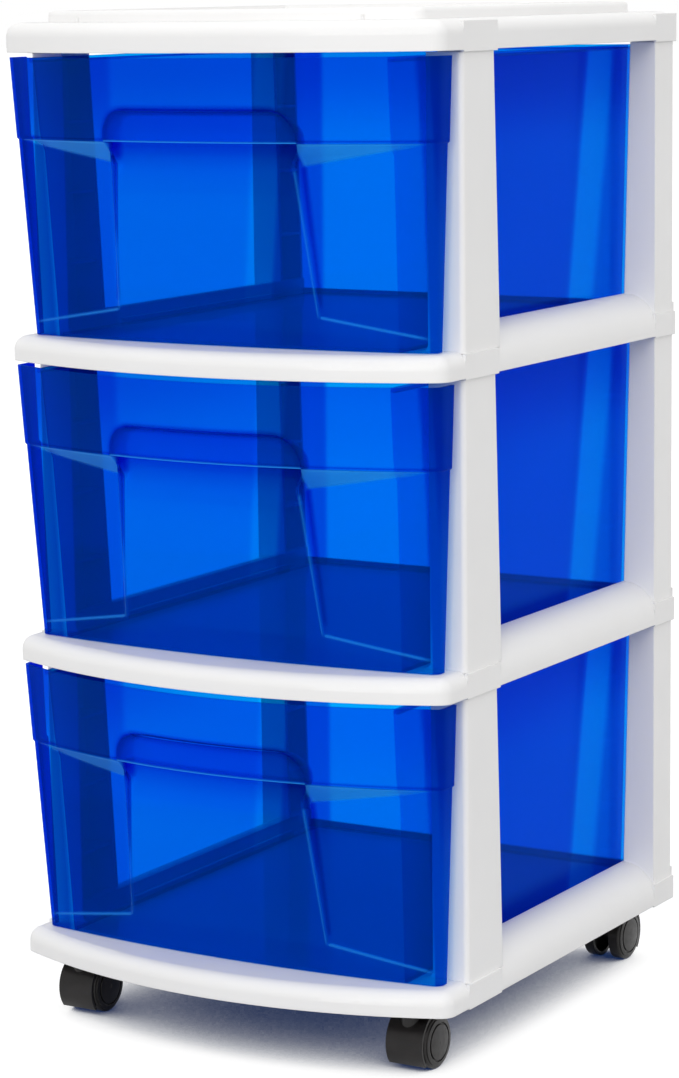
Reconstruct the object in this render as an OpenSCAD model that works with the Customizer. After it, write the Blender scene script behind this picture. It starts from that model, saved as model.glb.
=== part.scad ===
// Plastic drawer tower on four twin-wheel casters.
// Three stacked tier frames under a two-step top cover, each frame with one bow-fronted drawer.
// Millimetres, +Z up, front towards -Y. The origin is on the floor under the middle of the tower.

/* [Tower] */
// Width over the shelf rims
tower_w = 308; // [280:1:340]
// Depth of a tier frame, from the front of its front posts to the back of its back posts
frame_depth = 289; // [240:1:340]
// Height from one frame seam to the next
tier_pitch = 190; // [150:1:230]
// How far the middle of the bowed rim stands ahead of the front posts
bow_reach = 60; // [45:1:75]
// How far the corners of the bowed rim stand ahead of the front posts
corner_reach = 26; // [20:1:34]
// Height of the lowest frame seam above the floor
frame_lift = 39; // [36:1:50]

/* [Frames] */
// Wall thickness of the white mouldings
wall = 2.4; // [1.8:0.1:3]
// Height of the rim along the front of a shelf
rim_h = 16.4; // [14:0.2:20]
// Height of the rounded side rails
rail_h = 28; // [24:1:34]
// Height of the back rail
back_rail_h = 21; // [18:1:28]
// Step from the side of a rim to the side of a post
post_inset = 1.7; // [1:0.1:3]
// Depth of a front post at its top
front_post_d = 38.5; // [32:0.5:44]
// How much deeper a front post is at its foot
front_post_flare = 6; // [0:0.5:10]
// Depth of a back post
back_post_d = 29; // [24:0.5:34]
// Width of a post's inner plates at the top
post_w_top = 17.7; // [14:0.1:22]
// Width of a post's inner plates at the foot
post_w_foot = 21.7; // [16:0.1:26]
// Width of the flat front plate of a front post
front_plate_w = 24; // [20:0.5:28]

/* [Top cover] */
// Height of the rounded lower step of the cover above its seam
cover_step_h = 19; // [16:0.5:24]
// Height of the upper step above the lower one
cover_rise = 7; // [4:0.5:12]
// Distance from the edge of the cover to the upper step
cover_inset = 22; // [16:1:30]
// Depth of the tray in the upper step
tray_depth = 3; // [0:0.5:5]

/* [Drawers] */
// Wall thickness of the tinted mouldings
drawer_wall = 2; // [1.6:0.1:2.6]
// How far the middle of a drawer's top edge stands ahead of the front posts
drawer_reach = 62; // [45:0.5:80]
// Height of a drawer
drawer_h = 171.4; // [130:0.2:210]
// Half width of the drawer front at its top edge
front_half_top = 150.5; // [136:0.5:166]
// Half width of the drawer front at its bottom edge
front_half_foot = 144; // [130:0.5:160]
// Height of the ledge line above the bottom of the drawer
ledge_h = 121.7; // [90:0.1:150]
// Depth of the side recesses where they meet the centre tongue
recess_depth = 11; // [4:0.5:14]
// Half width of the finger pull
pull_half_w = 66.8; // [50:0.2:74]
// Height of the finger pull above the ledge line
pull_rise = 19; // [12:0.5:26]
// Half width of the drawer box at its top
box_half_top = 125; // [112:0.5:140]
// Half width of the drawer box at its bottom
box_half_foot = 120; // [108:0.5:136]

/* [Casters] */
// Radius of a wheel
wheel_r = 16.5; // [14:0.5:20]
// Width over both wheels
caster_w = 30; // [26:1:34]
// Distance from the swivel axis back to the wheel axle
trail = 9; // [6:0.5:12]
// Radius of the stem
stem_r = 4; // [3:0.1:5]
// Distance of a stem from the middle plane of the tower
stem_x = 120; // [100:1:136]

/* [Hidden] */
$fn = 48;
round_fn = 72;
sweep_fn = 180;
fine_fn = 360;
box_fn = 32;

frame_white = [0.94, 0.94, 0.93];
drawer_blue = [0.02, 0.25, 0.85, 0.6];
caster_black = [0.06, 0.055, 0.055];
stem_steel = [0.7, 0.7, 0.72];

eps = 0.01;
half_w = tower_w / 2;
post_x = half_w - post_inset;
back_over = 1.5;
tower_depth = drawer_reach + frame_depth + back_over;
post_y = drawer_reach - tower_depth / 2;
tier_count = 3;
cover_z = frame_lift + tier_count * tier_pitch;

// Bowed outline of the rims: a wide front arc that runs into a small arc at each corner
corner_r = 10;
bow_sag = bow_reach - corner_reach;
bow_r = (half_w * half_w + bow_sag * bow_sag) / (2 * bow_sag);
bow_cy = bow_r - bow_reach;
corner_lap = 1.5;
corner_skin = 0.04;
back_y = frame_depth + back_over;

// Shelf
nose_r = 8.5;
rim_foot = 1;
floor_t = 2.2;
flat_drop = 0.1;
floor_top = rim_h - flat_drop;
floor_lap = 1.2;
inner_corner_r = 3;
rim_end_y = 6;
rail_r = rail_h - 5;
rail_cx = half_w - rail_r;
rail_cz = rail_h - rail_r;
rail_end = 1;
rail_lap = 0.3;
rail_lip_drop = 0.2;
guide_x = 122;
guide_y = 52;
guide_w = 2;
guide_h = 5;
guide_len = 200;

// Stiffening ribs: their thickness, depth, and places under a shelf and under the cover
rib_t = 1.8;
rib_drop = 7;
rib_front_y = -24;
rib_step = 45;
cross_rib_y = 10;
cross_rib_step = 70;
cover_rib_step = 50;
cover_rib_half = 110;
cover_rib_back = 30;

// Raised middle of the cover
tray_edge_w = 8;
tray_lap = 1;
tray_corner_r = 2;
step_edge_r = 3;
step_corner_r = 9;

// Posts and the pegs that join one moulding to the next
front_plate_x = post_x - front_plate_w;
back_post_y = frame_depth - back_post_d;
post_edge_r = 3.2;
foot_fillet_r = 4;
peg_h = 11;
peg_gap = 0.15;
peg_wall = 1.8;
peg_x0 = 136.5;
peg_x1 = 147.5;
front_peg = [5, 32];
back_peg = [back_post_y + 4.5, frame_depth - 5];
socket_wall = 2;
web_heights = [58, 102, 146];
skirt_over = 2;

// Caster places in the frame of the posts; the hoods point outwards
stem_front_y = -12;
stem_back_y = frame_depth - 17;
socket_r = 9;
stem_gap = 0.05;
stem_room = 0.5;
stem_top = frame_lift + 12;

// ---- Outlines and sweeps ----

// Flat shape inside the bowed outline, drawn in by "inset"
module bowed_outline(inset, r = corner_r) {
    x = corner_x(inset, r);
    front = corner_y(inset, r);
    back = back_y - inset - r;
    intersection() {
        translate([0, bow_cy]) circle(r = bow_r - inset, $fn = sweep_fn);
        union() {
            translate([-x - r, front]) square([2 * (x + r), back - front]);
            translate([-x, bow_cy - bow_r]) square([2 * x, back + r - bow_cy + bow_r]);
            for (side = [-1, 1]) for (y = [front, back]) translate([side * x, y]) circle(r = r);
        }
    }
}

// Thin section with a rounded upper outer edge; x = 0 is the outer face, "skin" thins it on every side
module nose_section(height, skin = 0) {
    mid = height - nose_r;
    difference() {
        union() {
            translate([skin - nose_r, rim_foot + skin])
                square([nose_r - 2 * skin, mid - rim_foot - skin]);
            translate([skin - nose_r, mid]) intersection() {
                translate([-skin, 0]) circle(r = nose_r - skin);
                square(nose_r);
            }
        }
        translate([-nose_r - 1, -1]) square([nose_r + 1 - wall + skin, mid + 1]);
        translate([-nose_r, mid]) circle(r = nose_r - wall + skin);
    }
}

// Corners of a bowed outline drawn in by "inset": centre of the front corner arc, and where the bow ends
function corner_x(inset, r) = half_w - inset - r;
function corner_y(inset, r) = bow_cy - sqrt(pow(bow_r - inset - r, 2) - pow(corner_x(inset, r), 2));
function bow_half(inset, r) = asin(corner_x(inset, r) / (bow_r - inset - r));

// The first child is a section with its outer face at x = 0, swept round the bow and along straight
// edges. The second is the same section a hair thinner, swept round the corners a little way into both.
module corner_sweep(x, y, r, first, last) {
    for (side = [0, 1]) mirror([side, 0, 0])
        translate([x, y, 0])
            rotate_extrude(angle = last - first + 2 * corner_lap, start = first - corner_lap)
                translate([r, 0]) children();
}

module around_front(inset, r) {
    sweep = bow_half(inset, r);
    translate([0, bow_cy, 0])
        rotate_extrude(angle = 2 * sweep, start = -90 - sweep, $fn = sweep_fn)
            translate([bow_r - inset, 0]) children(0);
    corner_sweep(corner_x(inset, r), corner_y(inset, r), r, sweep - 90, 0) children(1);
}

module along_sides(inset, y0, y1) {
    for (side = [0, 1]) mirror([side, 0, 0])
        translate([half_w - inset, y1, 0]) rotate([90, 0, 0]) linear_extrude(y1 - y0) children();
}

module around_all(inset, r) {
    x = corner_x(inset, r);
    y1 = back_y - inset - r;
    around_front(inset, r) {
        children(0);
        children(1);
    }
    along_sides(inset, corner_y(inset, r), y1) children(0);
    corner_sweep(x, y1, r, 0, 90) children(1);
    translate([-x, back_y - inset, 0]) rotate([90, 0, 90]) linear_extrude(2 * x) children(0);
}

// ---- Tier frames ----

// One side rail: a quarter-round shell over the gap between the posts
module side_rail() {
    translate([0, frame_depth - rail_end, 0]) rotate([90, 0, 0])
        linear_extrude(frame_depth - 2 * rail_end) {
            difference() {
                intersection() {
                    translate([rail_cx, rail_cz]) circle(r = rail_r, $fn = round_fn);
                    translate([rail_cx, rail_cz]) square(rail_r);
                }
                translate([rail_cx, rail_cz]) circle(r = rail_r - wall, $fn = round_fn);
            }
            translate([half_w - wall, rim_foot]) square([wall, rail_cz - rim_foot]);
            translate([rail_cx - wall + rail_lap, floor_top - floor_t / 2])
                square([wall, rail_h - floor_top + floor_t / 2 - rail_lip_drop]);
        }
}

module back_rail() {
    translate([-post_x, frame_depth - wall, rim_foot]) cube([2 * post_x, wall, back_rail_h - rim_foot]);
}

module shelf_floor() {
    translate([0, 0, floor_top - floor_t]) linear_extrude(floor_t) difference() {
        bowed_outline(nose_r - floor_lap, inner_corner_r);
        translate([-half_w, frame_depth - wall / 2]) square([tower_w, corner_r * 2]);
    }
    for (side = [-1, 1])
        translate([side * (guide_x + guide_w / 2) - guide_w / 2, guide_y, floor_top - 1])
            cube([guide_w, guide_len, guide_h + 1]);
}

// Stiffening ribs under the floor, all ending inside the outer walls
module shelf_ribs() {
    rib_z = floor_top - floor_t - rib_drop;
    for (i = [-2 : 2])
        translate([i * rib_step - rib_t / 2, rib_front_y, rib_z])
            cube([rib_t, frame_depth - wall / 2 - rib_front_y, rib_drop + 1]);
    for (i = [0 : 3])
        translate([-rail_cx, cross_rib_y + i * cross_rib_step - rib_t / 2, rib_z])
            cube([2 * rail_cx, rib_t, rib_drop + 1]);
}

// Solid that gives a post its two leaning inner edges, seen from the front
module post_edge_zone(x_foot, x_top) {
    translate([0, frame_depth + 1, 0]) rotate([90, 0, 0]) linear_extrude(frame_depth + 2)
        polygon([[x_foot, 0], [x_foot, rail_h], [x_top, tier_pitch], [post_x, tier_pitch], [post_x, 0]]);
}

// Prism with the given outline when seen from the side, over the whole width of a post
module side_prism(points) {
    rotate([90, 0, 90]) linear_extrude(half_w) polygon(points);
}

// Plan of a post's outer corner: two plates that meet in a rounded edge at the front or back
module corner_plan(width, depth) {
    difference() {
        rounded_plate(width, depth, post_edge_r);
        translate([-wall, wall]) rounded_plate(width, depth, post_edge_r - wall);
    }
}

// Rectangle from the outer side face inwards, with its outer front corner rounded
module rounded_plate(width, depth, r) {
    translate([post_x - width, 0]) square([width - r, depth]);
    translate([post_x - width, r]) square([width, depth - r]);
    translate([post_x - r, r]) circle(r = r);
}

// Fillet that fills the corner between a post's front plate and the shelf
module foot_fillet() {
    translate([front_plate_x, wall, floor_top]) rotate([90, 0, 0]) linear_extrude(wall) difference() {
        translate([-foot_fillet_r, -1]) square([foot_fillet_r + 1, foot_fillet_r + 1]);
        translate([-foot_fillet_r, foot_fillet_r]) circle(r = foot_fillet_r);
    }
}

module front_post() {
    foot_y = front_post_d + front_post_flare;
    z0 = floor_top - floor_t / 2;
    intersection() {
        translate([0, 0, z0]) linear_extrude(tier_pitch - z0) corner_plan(front_plate_w, foot_y);
        side_prism([[-1, z0], [foot_y, z0], [foot_y, rail_h],
            [front_post_d, tier_pitch], [-1, tier_pitch]]);
    }
    foot_fillet();
    intersection() {
        union() {
            side_prism([[foot_y - wall, z0], [foot_y, z0], [foot_y, rail_h],
                [front_post_d, tier_pitch], [front_post_d - wall, tier_pitch], [foot_y - wall, rail_h]]);
            for (z = web_heights)
                translate([0, wall / 2, z]) cube([post_x - wall / 2, front_post_d - wall, rib_t]);
            translate([0, wall / 2, tier_pitch - wall])
                cube([post_x - wall / 2, front_post_d - wall, wall]);
        }
        post_edge_zone(post_x - post_w_foot, post_x - post_w_top);
    }
    peg(front_peg);
}

module back_post() {
    z0 = floor_top - floor_t / 2;
    translate([0, frame_depth, z0]) mirror([0, 1, 0])
        linear_extrude(tier_pitch - z0) corner_plan(post_w_top, back_post_d - wall / 2);
    intersection() {
        union() {
            for (y = [back_post_y, frame_depth - wall])
                translate([0, y, z0]) cube([post_x - post_edge_r, wall, tier_pitch - z0]);
            translate([0, back_post_y, z0]) cube([post_x, wall, tier_pitch - z0]);
            for (z = web_heights)
                translate([0, back_post_y + wall / 2, z])
                    cube([post_x - wall / 2, back_post_d - wall, rib_t]);
            translate([0, back_post_y + wall / 2, tier_pitch - wall])
                cube([post_x - wall / 2, back_post_d - wall, wall]);
        }
        post_edge_zone(post_x - post_w_foot, post_x - post_w_top);
    }
    peg(back_peg);
}

// Hollow peg on top of a post
module peg(span) {
    translate([peg_x0, span[0], tier_pitch - eps]) difference() {
        cube([peg_x1 - peg_x0, span[1] - span[0], peg_h]);
        translate([peg_wall, peg_wall, -1])
            cube([peg_x1 - peg_x0 - 2 * peg_wall, span[1] - span[0] - 2 * peg_wall, peg_h + 2]);
    }
}

// Socket ring that takes a peg, from the seam up to "top"
module peg_socket(span, top) {
    grow = peg_gap + socket_wall;
    translate([peg_x0 - grow, span[0] - grow, 0]) difference() {
        cube([peg_x1 - peg_x0 + 2 * grow, span[1] - span[0] + 2 * grow, top]);
        translate([socket_wall, socket_wall, -1])
            cube([peg_x1 - peg_x0 + 2 * peg_gap, span[1] - span[0] + 2 * peg_gap, top + 2]);
    }
}

// Foot of the shelf at a post: the side wall reaches down to the seam
module seam_skirt(y0, y1, top) {
    translate([half_w - wall, y0, 0]) cube([wall, y1 - y0, top]);
}

module sockets(top) {
    for (side = [0, 1]) mirror([side, 0, 0]) {
        peg_socket(front_peg, top);
        peg_socket(back_peg, top);
        seam_skirt(rail_end - skirt_over, front_post_d + skirt_over, top);
        seam_skirt(back_post_y - skirt_over, frame_depth - rail_end, top);
    }
}

module tier_frame() {
    around_front(0, corner_r) {
        nose_section(rim_h);
        nose_section(rim_h, corner_skin);
    }
    along_sides(0, corner_y(0, corner_r), rim_end_y) nose_section(rim_h);
    shelf_floor();
    shelf_ribs();
    back_rail();
    for (side = [0, 1]) mirror([side, 0, 0]) {
        side_rail();
        front_post();
        back_post();
    }
    sockets(floor_top - floor_t / 2);
}

module caster_places() {
    for (sx = [-1, 1]) for (y = [stem_front_y, stem_back_y]) translate([sx * stem_x, y, 0]) children();
}

module place_frame(tier) {
    translate([0, post_y, frame_lift + tier * tier_pitch]) children();
}

module frame_top() color(frame_white) place_frame(2) tier_frame();

module frame_middle() color(frame_white) place_frame(1) tier_frame();

module frame_bottom() color(frame_white) place_frame(0) difference() {
    union() {
        tier_frame();
        caster_places() translate([0, 0, rim_foot]) cylinder(r = socket_r, h = rim_h - rim_foot - 1);
    }
    caster_places()
        translate([0, 0, -1]) cylinder(r = stem_r, h = stem_top - frame_lift + stem_room + 1);
}

// ---- Top cover ----

// Section of the raised edge round the tray; x = 0 is its outer face
module step_section(skin = 0) {
    foot = cover_step_h - wall;
    top = cover_step_h + cover_rise;
    translate([skin - tray_edge_w, foot + skin])
        square([tray_edge_w - 2 * skin, top - step_edge_r - foot - 2 * skin]);
    translate([skin - tray_edge_w, foot + skin])
        square([tray_edge_w - step_edge_r - skin, top - foot - 2 * skin]);
    translate([-step_edge_r, top - step_edge_r]) circle(r = step_edge_r - skin);
}

module cover_upper_step() {
    around_all(cover_inset, step_corner_r) {
        step_section();
        step_section(corner_skin);
    }
    translate([0, 0, cover_step_h + cover_rise - tray_depth - wall]) linear_extrude(wall)
        bowed_outline(cover_inset + tray_edge_w - tray_lap, tray_corner_r);
}

module cover_ribs() {
    z0 = cover_step_h - wall - rib_drop;
    rib_h = rib_drop + cover_rise - tray_depth + wall / 2;
    for (i = [-2 : 2])
        translate([i * cover_rib_step - rib_t / 2, rib_front_y, z0])
            cube([rib_t, frame_depth - cover_rib_back - rib_front_y, rib_h]);
    for (i = [0 : 3])
        translate([-cover_rib_half, cross_rib_y + i * cross_rib_step - rib_t / 2, z0])
            cube([2 * cover_rib_half, rib_t, rib_h]);
}

module top_cover() color(frame_white) translate([0, post_y, cover_z]) {
    around_all(0, corner_r) {
        nose_section(cover_step_h);
        nose_section(cover_step_h, corner_skin);
    }
    translate([0, 0, cover_step_h - wall - flat_drop]) linear_extrude(wall) difference() {
        bowed_outline(nose_r - floor_lap, inner_corner_r);
        bowed_outline(cover_inset + tray_edge_w / 2, step_corner_r / 2);
    }
    cover_upper_step();
    cover_ribs();
    sockets(cover_step_h - wall / 2);
}

// ---- Drawers ----

// The drawer front is a sheet that follows these curves; z is the height above the drawer's bottom.
front_drop_foot = 28;
end_drop_foot = 17;
end_drop_top = 26;
return_y = -9;
front_corner_r = 6;
recess_end_x = 147;
tongue_half_top = 64;
tongue_half_foot = 72;
ledge_slope = 14;
recess_foot_in = 20.6;
recess_foot_out = 9.2;
recess_foot_depth = 1.5;
tongue_side = 2.5;
foot_slope = 3;
recess_foot_x = 142;
ledge_over = 1.3;
ledge_end_h = 0.6;
ledge_step = 0.4;

function blend(a, b, t) = a + (b - a) * t;
function clamp01(t) = max(0, min(1, t));
function up(z) = z / drawer_h;
function half_at(z) =
    blend(front_half_foot, front_half_top, up(z)) - (z < ledge_h - eps ? ledge_over : 0);
function drop_at(z) = blend(front_drop_foot, drawer_reach, up(z));
function end_drop_at(z) = blend(end_drop_foot, end_drop_top, up(z));
function bow_at(x, z) = blend(-drop_at(z), -end_drop_at(z), pow(x / half_at(z), 2));
// How far towards its outer end a place in a side recess is, from 1 at the tongue to 0
function inward(x) = clamp01((recess_end_x - x) / (recess_end_x - tongue_half_top));
function tongue_at(z) = blend(tongue_half_foot, tongue_half_top, clamp01(z / (ledge_h - ledge_slope)));
function ledge_foot_at(x) = ledge_h - max(ledge_slope * inward(x), ledge_end_h);
function recess_foot_at(x) = blend(recess_foot_in, recess_foot_out,
    clamp01((x - tongue_half_foot) / (recess_foot_x - tongue_half_foot)));

// Rows climb the front; the ones in the middle follow the edges of the recesses
row_count = 10;
function row_z(row, x) = let (low = recess_foot_at(x), high = ledge_foot_at(x))
    row == 0 ? 0 : row == 1 ? low - foot_slope : row == 2 ? low :
    row == 3 ? blend(low, high, 1 / 3) : row == 4 ? blend(low, high, 2 / 3) :
    row == 5 ? high : row == 6 ? ledge_h : row == 7 ? ledge_h + ledge_step :
    row == 8 ? blend(ledge_h, drawer_h, 0.5) : drawer_h;
function recess_at(row, x) = let (deep = recess_depth * inward(x),
        shallow = recess_foot_depth * inward(x))
    row == 2 ? shallow : row == 3 ? blend(shallow, deep, 1 / 3) :
    row == 4 ? blend(shallow, deep, 2 / 3) : row == 5 ? deep : 0;

// Columns run from the middle to the right: across the tongue, over the recess, round the corner
tongue_steps = 4;
recess_steps = 5;
corner_steps = 3;
column_count = tongue_steps + 1 + recess_steps + 1 + corner_steps + 1;
function rough_x(col) = col <= tongue_steps ? tongue_half_top * col / tongue_steps :
    blend(tongue_half_top + tongue_side, front_half_foot - front_corner_r,
        (col - tongue_steps - 1) / recess_steps);
// Outer point of a column at a row, then the direction into the sheet
function column_at(col, row) = let (
        first_corner = tongue_steps + 1 + recess_steps,
        rx = rough_x(min(col, first_corner)),
        z = row_z(row, rx),
        h = half_at(z),
        t = tongue_at(z),
        front_x = col <= tongue_steps ? t * col / tongue_steps :
            blend(t + tongue_side, h - front_corner_r, (col - tongue_steps - 1) / recess_steps),
        cy = bow_at(h - front_corner_r, z) + front_corner_r,
        a = clamp01((col - first_corner) / corner_steps) * 90)
    col < first_corner
        ? [[front_x, bow_at(front_x, z) + (col > tongue_steps ? recess_at(row, rx) : 0), z], [0, 1, 0]]
        : col <= first_corner + corner_steps
        ? [[h - front_corner_r + front_corner_r * sin(a), cy - front_corner_r * cos(a), z],
            [-sin(a), cos(a), 0]]
        : [[h, return_y, z], [-1, 0, 0]];

span_count = 2 * column_count - 1;
function mirrored(p, on) = on ? [-p[0], p[1], p[2]] : p;
function sheet_point(i, row, depth) = let (
        left = i < column_count - 1,
        col = left ? column_count - 1 - i : i - column_count + 1,
        c = column_at(col, row))
    mirrored(c[0] + depth * c[1], left);
function envelope_point(i, row, y) = let (p = sheet_point(i, row, 0)) [p[0], y, p[2]];

// Closed skin between a near and a far grid of the same size
function skin_faces(cols, rows) = let (n = cols * rows,
        a = function (i, r) r * cols + i, b = function (i, r) n + r * cols + i) concat(
    [for (r = [0 : rows - 2]) for (i = [0 : cols - 2]) each
        [[a(i, r), a(i, r + 1), a(i + 1, r)], [a(i + 1, r), a(i, r + 1), a(i + 1, r + 1)],
        [b(i, r), b(i + 1, r), b(i, r + 1)], [b(i + 1, r), b(i + 1, r + 1), b(i, r + 1)]]],
    [for (i = [0 : cols - 2]) each
        [[a(i, 0), a(i + 1, 0), b(i, 0)], [a(i + 1, 0), b(i + 1, 0), b(i, 0)],
        [a(i, rows - 1), b(i, rows - 1), a(i + 1, rows - 1)],
        [a(i + 1, rows - 1), b(i, rows - 1), b(i + 1, rows - 1)]]],
    [for (r = [0 : rows - 2]) each
        [[a(0, r), b(0, r), a(0, r + 1)], [a(0, r + 1), b(0, r), b(0, r + 1)],
        [a(cols - 1, r), a(cols - 1, r + 1), b(cols - 1, r)],
        [a(cols - 1, r + 1), b(cols - 1, r + 1), b(cols - 1, r)]]]);

module front_sheet() {
    polyhedron(
        points = [for (depth = [0, drawer_wall]) for (r = [0 : row_count - 1])
            for (i = [0 : span_count - 1]) sheet_point(i, r, depth)],
        faces = skin_faces(span_count, row_count));
}

// Everything behind the outer face of the front, used to end the box walls at the sheet
module front_envelope() {
    first = corner_steps + 1;
    cols = span_count - 2 * first;
    polyhedron(
        points = concat(
            [for (r = [0 : row_count - 1]) for (i = [first : span_count - 1 - first])
                sheet_point(i, r, drawer_wall / 2)],
            [for (r = [0 : row_count - 1]) for (i = [first : span_count - 1 - first])
                envelope_point(i, r, frame_depth)]),
        faces = skin_faces(cols, row_count));
}

// Tapered box with rounded back corners; "inset" makes the inner space
box_front_y = -70;
box_back_top = frame_depth - 8;
box_back_foot = frame_depth - 13;
box_corner_r = 14;

module box_level(half, back, inset) {
    r = box_corner_r - inset;
    for (side = [-1, 1]) translate([side * (half - inset - r), back - inset - r])
        cylinder(r = r, h = eps, $fn = box_fn);
    translate([inset - half, box_front_y, 0]) cube([2 * (half - inset), box_corner_r, eps]);
}

module box_space(inset) {
    z0 = inset > 0 ? drawer_wall : 0;
    hull() {
        translate([0, 0, z0]) box_level(blend(box_half_foot, box_half_top, up(z0)),
            blend(box_back_foot, box_back_top, up(z0)), inset);
        translate([0, 0, drawer_h - eps + (inset > 0 ? 1 : 0)])
            box_level(box_half_top, box_back_top, inset);
    }
}

// Lip round the sides and back of the box, at its top
lip_w = 2.6;
lip_h = 3;

module box_lip() {
    translate([0, 0, drawer_h - lip_h]) linear_extrude(lip_h) difference() {
        lip_outline(lip_w);
        lip_outline(-drawer_wall / 2);
    }
}

module lip_outline(grow) {
    half = box_half_top + grow;
    r = box_corner_r + grow;
    back = box_back_top + grow;
    translate([-half, box_front_y]) square([2 * half, back - r - box_front_y]);
    translate([r - half, box_front_y]) square([2 * (half - r), back - box_front_y]);
    for (side = [-1, 1]) translate([side * (half - r), back - r]) circle(r = r);
}

// The finger pull: a pocket behind the band, open below the ledge line, whose back wall runs out
// to the face of the tongue further down
pull_corner_r = 17;
pull_depth = 15;
scoop_h = 45;
scoop_ease = 1.2;
pull_plane_y = -80;
pull_cols = 9;
pull_rows = 7;

module arch_outline(grow) {
    half = pull_half_w + grow;
    r = pull_corner_r + grow;
    top = ledge_h + pull_rise + grow;
    neck = tongue_half_top - 1 + grow;
    translate([-half, ledge_h - eps]) square([2 * half, top - r - ledge_h + eps]);
    translate([r - half, ledge_h]) square([2 * (half - r), pull_rise + grow]);
    for (side = [-1, 1]) translate([side * (half - r), top - r]) circle(r = r);
    low = ledge_h - scoop_h - 1;
    polygon([[-neck, low], [neck, low], [neck, ledge_h - ledge_slope],
        [half, ledge_h], [-half, ledge_h], [-neck, ledge_h - ledge_slope]]);
}

module pull_zone(grow) {
    rotate([90, 0, 0]) linear_extrude(-pull_plane_y) arch_outline(grow);
}

// How far the pull's back wall lies behind the outer face at a height
function scoop_at(z) = let (t = clamp01((ledge_h - z) / scoop_h))
    pull_depth * (1 - t) * (1 - t) - scoop_ease * t;

// All the space in front of the pull's back wall
module pull_space(grow) {
    half = pull_half_w + 2 * drawer_wall;
    low = ledge_h - scoop_h;
    high = ledge_h + pull_rise + 2 * drawer_wall;
    grid = [for (r = [0 : pull_rows - 1]) for (c = [0 : pull_cols - 1])
        [blend(-half, half, c / (pull_cols - 1)), blend(low, high, r / (pull_rows - 1))]];
    polyhedron(
        points = concat([for (g = grid) [g[0], pull_plane_y, g[1]]],
            [for (g = grid) [g[0], bow_at(g[0], g[1]) + scoop_at(g[1]) + grow, g[1]]]),
        faces = skin_faces(pull_cols, pull_rows));
}

module pull_block() {
    intersection() {
        pull_zone(drawer_wall);
        pull_space(drawer_wall);
        front_envelope();
    }
}

module pull_cavity() {
    intersection() {
        pull_zone(0);
        pull_space(0);
    }
}

module drawer_body() {
    difference() {
        union() {
            front_sheet();
            pull_block();
        }
        pull_cavity();
    }
    intersection() {
        front_sheet();
        translate([-half_w, box_front_y, ledge_h]) cube([tower_w, -box_front_y, drawer_h]);
    }
    intersection() {
        front_envelope();
        union() {
            difference() {
                box_space(0);
                box_space(drawer_wall);
            }
            box_lip();
        }
    }
}

drawer_foot = 16.8;
module place_drawer(tier) color(drawer_blue)
    translate([0, post_y, frame_lift + tier * tier_pitch + drawer_foot]) children();

module drawer_top() place_drawer(2) drawer_body();

module drawer_middle() place_drawer(1) drawer_body();

module drawer_bottom() place_drawer(0) drawer_body();

// ---- Casters, drawn with the swivel axis at x = y = 0 and the wheels trailing towards +Y ----

hood_r = 19.2;
hood_w = 25;
hood_lip_slope = 1.17;
hood_tail_slope = 0.75;
hood_in_r = wheel_r + 0.9;
web_w = 10.4;
axle_r = 2.5;
axle_end = 2;
hub_r = axle_r + 3;
neck_r = 6.5;
neck_foot = wheel_r + 8;
collar_r = 8.5;
collar_h = 5;
collar_top = frame_lift + 0.6;
stem_foot = 24;
stem_tip_h = 1.5;
stem_tip_r = 3;

// Wheels: a round-shouldered tread, a crowned cap with a groove round it, and a hollow inner side
wheel_gap = 0.5;
wheel_w = caster_w / 2 - web_w / 2 - wheel_gap;
tread_w = 7.4;
tread_t = 2.4;
shoulder_r = 1.4;
cap_r = wheel_r - 1.8;
cap_t = 1.6;
crown_r = 90;
groove_r = cap_r - 2.6;
groove_w = 1.2;
groove_d = 0.9;

module along_x(width)
    translate([-width / 2, trail, wheel_r]) rotate([0, 90, 0]) linear_extrude(width) children();

// Fender over the top and the leading side of the wheels; seen along X, with z down the page
module hood_wedge() {
    reach = 2 * hood_r;
    polygon([[0, 0], [reach, -hood_lip_slope * reach], [reach, -2 * reach], [-reach, -2 * reach],
        [-reach, hood_tail_slope * reach]]);
}

module caster_hood() color(caster_black) {
    difference() {
        union() {
            along_x(hood_w) intersection() {
                difference() {
                    circle(r = hood_r, $fn = round_fn);
                    circle(r = hood_in_r, $fn = round_fn);
                }
                hood_wedge();
            }
            along_x(web_w) intersection() {
                circle(r = hood_r - eps, $fn = round_fn);
                union() {
                    hood_wedge();
                    circle(r = hub_r);
                }
            }
            translate([0, 0, neck_foot]) cylinder(r = neck_r, h = collar_top - neck_foot);
            translate([0, 0, collar_top - collar_h]) cylinder(r = collar_r, h = collar_h);
        }
        translate([0, 0, stem_foot - stem_room]) cylinder(r = stem_r + stem_gap, h = collar_top);
        along_x(caster_w) circle(r = axle_r);
        for (side = [0, 1]) mirror([side, 0, 0])
            translate([web_w / 2, trail, wheel_r]) rotate([0, 90, 0])
                cylinder(r = hood_in_r, h = hood_w, $fn = round_fn);
    }
}

module caster_stem() color(stem_steel) {
    translate([0, 0, stem_foot]) cylinder(r = stem_r, h = stem_top - stem_tip_h - stem_foot);
    translate([0, 0, stem_top - stem_tip_h]) cylinder(r1 = stem_r, r2 = stem_tip_r, h = stem_tip_h);
}

module caster_axle() color(stem_steel) along_x(caster_w - 2 * axle_end) circle(r = axle_r);

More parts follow.
